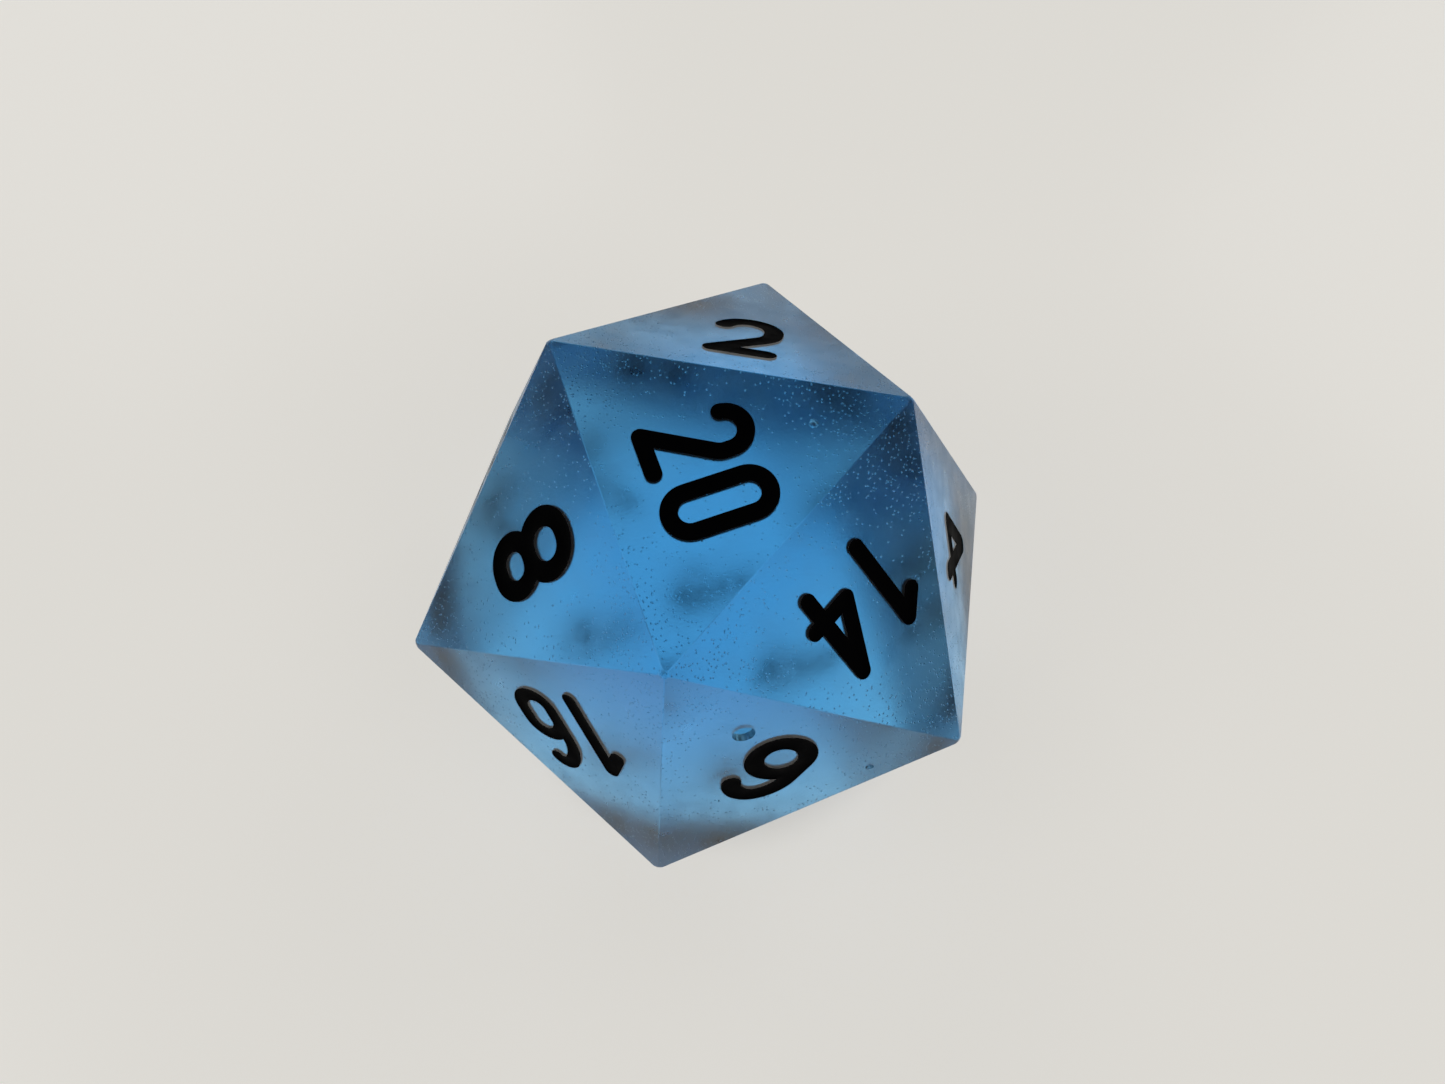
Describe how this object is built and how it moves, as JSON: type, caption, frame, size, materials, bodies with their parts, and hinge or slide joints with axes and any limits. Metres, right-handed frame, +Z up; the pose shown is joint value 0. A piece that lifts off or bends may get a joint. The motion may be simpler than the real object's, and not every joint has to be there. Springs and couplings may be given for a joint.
{
  "type": "polyhedral die",
  "caption": "Icosahedral gaming die, cast in translucent resin, with an engraved and paint-filled numeral on each face.",
  "frame": {"origin": "middle of the bottom face, numbered 1, which the die rests on", "axes": "+Z up out of the top face, numbered 20; +Y to the back, along the longest extent, away from the top face's front corner; +X to the right"},
  "size_m": [0.0214, 0.0246, 0.02],
  "materials": {
    "cast_resin": "translucent smoky blue cast resin, satin hand-polished",
    "numeral_paint": "glossy black paint"
  },
  "bodies": {
    "root": {"die_body": "cast_resin", "ink_01": "numeral_paint", "ink_02": "numeral_paint", "ink_03": "numeral_paint", "ink_04": "numeral_paint", "ink_05": "numeral_paint", "ink_06": "numeral_paint", "ink_07": "numeral_paint", "ink_08": "numeral_paint", "ink_09": "numeral_paint", "ink_10": "numeral_paint", "ink_11": "numeral_paint", "ink_12": "numeral_paint", "ink_13": "numeral_paint", "ink_14": "numeral_paint", "ink_15": "numeral_paint", "ink_16": "numeral_paint", "ink_17": "numeral_paint", "ink_18": "numeral_paint", "ink_19": "numeral_paint", "ink_20": "numeral_paint"}
  },
  "joints": []
}
